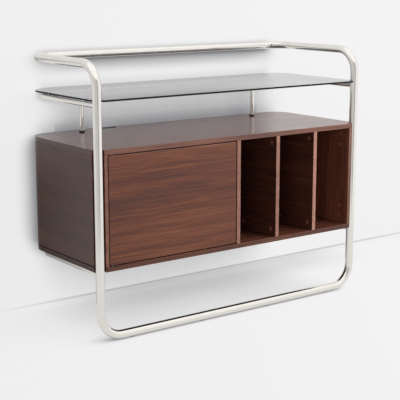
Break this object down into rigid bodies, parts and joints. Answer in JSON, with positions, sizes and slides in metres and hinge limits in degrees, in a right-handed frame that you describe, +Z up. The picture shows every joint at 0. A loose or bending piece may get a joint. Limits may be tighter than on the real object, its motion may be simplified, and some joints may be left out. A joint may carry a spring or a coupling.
{
  "type": "record cabinet",
  "caption": "Wall-held record cabinet in walnut on a bent polished tube frame, with a hinged door, upright record slots and a smoked glass shelf above.",
  "frame": {"origin": "middle of the footprint, on the floor", "axes": "+X to the right as seen from the front, +Y towards the wall, +Z up"},
  "size_m": [1.09, 0.443, 0.88],
  "materials": {
    "tube": "polished nickel plate",
    "walnut": "satin lacquered walnut veneer",
    "inner_wood": "satin lacquered walnut veneer",
    "raw_wood": "bare timber",
    "back_board": "dark lacquered board",
    "smoked_glass": "smoked tempered glass",
    "clear_pad": "clear silicone",
    "black_rubber": "matt",
    "zinc": "zinc plated",
    "dark_steel": "blackened",
    "black_plastic": "moulded nylon",
    "brown_plastic": "moulded cover face",
    "grey_plastic": "moulded acetal"
  },
  "bodies": {
    "cabinet": {"floor_loop": "tube", "top_bow": "tube", "left_spigot": "zinc", "right_spigot": "zinc", "grub_screws": "zinc", "floor_glides": "clear_pad", "carrier_loop": "tube", "shelf_loop": "tube", "left_post": "tube", "right_post": "tube", "left_collar": "black_rubber", "right_collar": "black_rubber", "post_bolts": "zinc", "glass_shelf": "smoked_glass", "glass_bumpers": "clear_pad", "top_board": "walnut", "bottom_board": "walnut", "left_inner_panel": "inner_wood", "right_inner_panel": "inner_wood", "left_skin": "walnut", "right_skin": "walnut", "left_front_spacer": "inner_wood", "right_front_spacer": "inner_wood", "left_rear_spacer": "raw_wood", "right_rear_spacer": "raw_wood", "centre_divider": "inner_wood", "second_divider": "inner_wood", "third_divider": "inner_wood", "back_panel": "back_board", "wall_rail": "raw_wood", "leg_tabs": "tube", "tab_bolts": "brown_plastic", "cam_locks": "brown_plastic", "cam_bolts": "zinc", "dowels": "raw_wood", "back_screws": "zinc", "upper_pivot_bush": "black_plastic", "lower_pivot_bush": "black_plastic", "latch_housing": "grey_plastic", "latch_screws": "zinc"},
    "door": {"door_panel": "walnut", "upper_pivot_pin": "dark_steel", "lower_pivot_pin": "dark_steel", "strike_plate": "zinc", "strike_screw": "zinc"},
    "latch_plunger": {"latch_plunger": "grey_plastic", "plunger_magnet": "zinc"}
  },
  "joints": [
    {"name": "door_hinge", "type": "hinge", "parent": "cabinet", "child": "door", "pos_m": [-0.488, -0.2105, 0.4185], "axis": [0, 0, -1], "range_deg": [0, 105]},
    {"name": "latch_slide", "type": "slide", "parent": "cabinet", "child": "latch_plunger", "axis": [0, -1, 0], "range_m": [0, 0.01]}
  ],
  "couplings": [
    {"joint": "latch_slide", "follows": "door_hinge", "m_per_rad": 0.005456}
  ]
}
